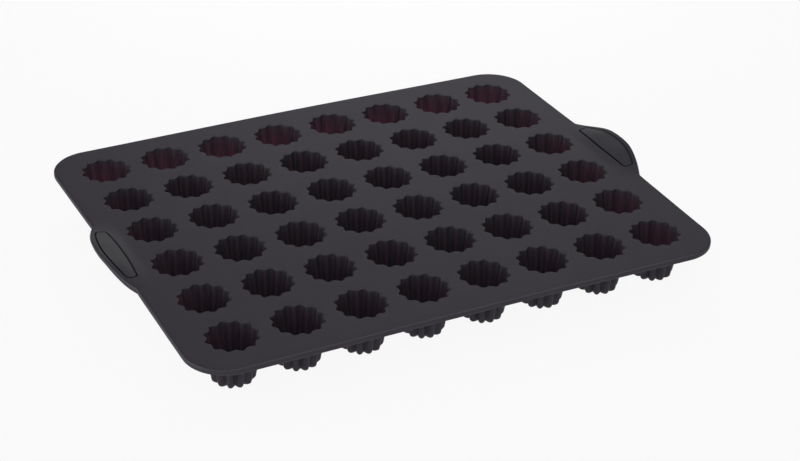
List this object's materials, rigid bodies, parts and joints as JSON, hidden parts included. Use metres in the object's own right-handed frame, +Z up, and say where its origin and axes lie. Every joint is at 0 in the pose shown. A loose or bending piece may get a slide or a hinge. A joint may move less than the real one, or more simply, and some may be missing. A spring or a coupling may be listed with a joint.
{
  "type": "canele mould",
  "caption": "Flexible silicone baking mould: a thin deck with a turned-down rim carries a grid of tapered fluted cups for small cakes, with an upturned grip at each short end.",
  "frame": {"origin": "centre of the outline, on the surface that the feet of the cups stand on", "axes": "+X along the long side to the right grip, +Y across to the back, +Z up out of the mouths of the cups"},
  "size_m": [0.3982, 0.304, 0.0391],
  "materials": {
    "silicone": "matt charcoal silicone",
    "grip_pad": "smooth charcoal silicone"
  },
  "bodies": {
    "column_1": {"cup_a1": "silicone", "cup_b1": "silicone", "cup_c1": "silicone", "cup_d1": "silicone", "cup_e1": "silicone", "cup_f1": "silicone"},
    "column_2": {"cup_a2": "silicone", "cup_b2": "silicone", "cup_c2": "silicone", "cup_d2": "silicone", "cup_e2": "silicone", "cup_f2": "silicone"},
    "column_3": {"cup_a3": "silicone", "cup_b3": "silicone", "cup_c3": "silicone", "cup_d3": "silicone", "cup_e3": "silicone", "cup_f3": "silicone"},
    "column_4": {"cup_a4": "silicone", "cup_b4": "silicone", "cup_c4": "silicone", "cup_d4": "silicone", "cup_e4": "silicone", "cup_f4": "silicone"},
    "column_5": {"cup_a5": "silicone", "cup_b5": "silicone", "cup_c5": "silicone", "cup_d5": "silicone", "cup_e5": "silicone", "cup_f5": "silicone"},
    "column_6": {"cup_a6": "silicone", "cup_b6": "silicone", "cup_c6": "silicone", "cup_d6": "silicone", "cup_e6": "silicone", "cup_f6": "silicone"},
    "column_7": {"cup_a7": "silicone", "cup_b7": "silicone", "cup_c7": "silicone", "cup_d7": "silicone", "cup_e7": "silicone", "cup_f7": "silicone"},
    "column_8": {"cup_a8": "silicone", "cup_b8": "silicone", "cup_c8": "silicone", "cup_d8": "silicone", "cup_e8": "silicone", "cup_f8": "silicone"},
    "left_end": {"left_grip": "silicone", "left_grip_pad": "grip_pad"},
    "right_end": {"right_grip": "silicone", "right_grip_pad": "grip_pad"}
  },
  "joints": [
    {"name": "fold_4_5", "type": "hinge", "parent": "column_4", "child": "column_5", "pos_m": [0, 0, 0.0301], "axis": [0, 1, 0], "range_deg": [-18, 18], "stiffness_Nm_per_rad": 0.1},
    {"name": "fold_5_6", "type": "hinge", "parent": "column_5", "child": "column_6", "pos_m": [0.0437, 0, 0.0301], "axis": [0, 1, 0], "range_deg": [-18, 18], "stiffness_Nm_per_rad": 0.1},
    {"name": "fold_6_7", "type": "hinge", "parent": "column_6", "child": "column_7", "pos_m": [0.0874, 0, 0.0301], "axis": [0, 1, 0], "range_deg": [-18, 18], "stiffness_Nm_per_rad": 0.1},
    {"name": "fold_7_8", "type": "hinge", "parent": "column_7", "child": "column_8", "pos_m": [0.1311, 0, 0.0301], "axis": [0, 1, 0], "range_deg": [-18, 18], "stiffness_Nm_per_rad": 0.1},
    {"name": "fold_3_4", "type": "hinge", "parent": "column_4", "child": "column_3", "pos_m": [-0.0437, 0, 0.0301], "axis": [0, -1, 0], "range_deg": [-18, 18], "stiffness_Nm_per_rad": 0.1},
    {"name": "fold_2_3", "type": "hinge", "parent": "column_3", "child": "column_2", "pos_m": [-0.0874, 0, 0.0301], "axis": [0, -1, 0], "range_deg": [-18, 18], "stiffness_Nm_per_rad": 0.1},
    {"name": "fold_1_2", "type": "hinge", "parent": "column_2", "child": "column_1", "pos_m": [-0.1311, 0, 0.0301], "axis": [0, -1, 0], "range_deg": [-18, 18], "stiffness_Nm_per_rad": 0.1},
    {"name": "left_grip_fold", "type": "hinge", "parent": "column_1", "child": "left_end", "pos_m": [-0.17235, 0, 0.0301], "axis": [0, -1, 0], "range_deg": [-30, 30], "stiffness_Nm_per_rad": 0.15},
    {"name": "right_grip_fold", "type": "hinge", "parent": "column_8", "child": "right_end", "pos_m": [0.17235, 0, 0.0301], "axis": [0, 1, 0], "range_deg": [-30, 30], "stiffness_Nm_per_rad": 0.15}
  ]
}
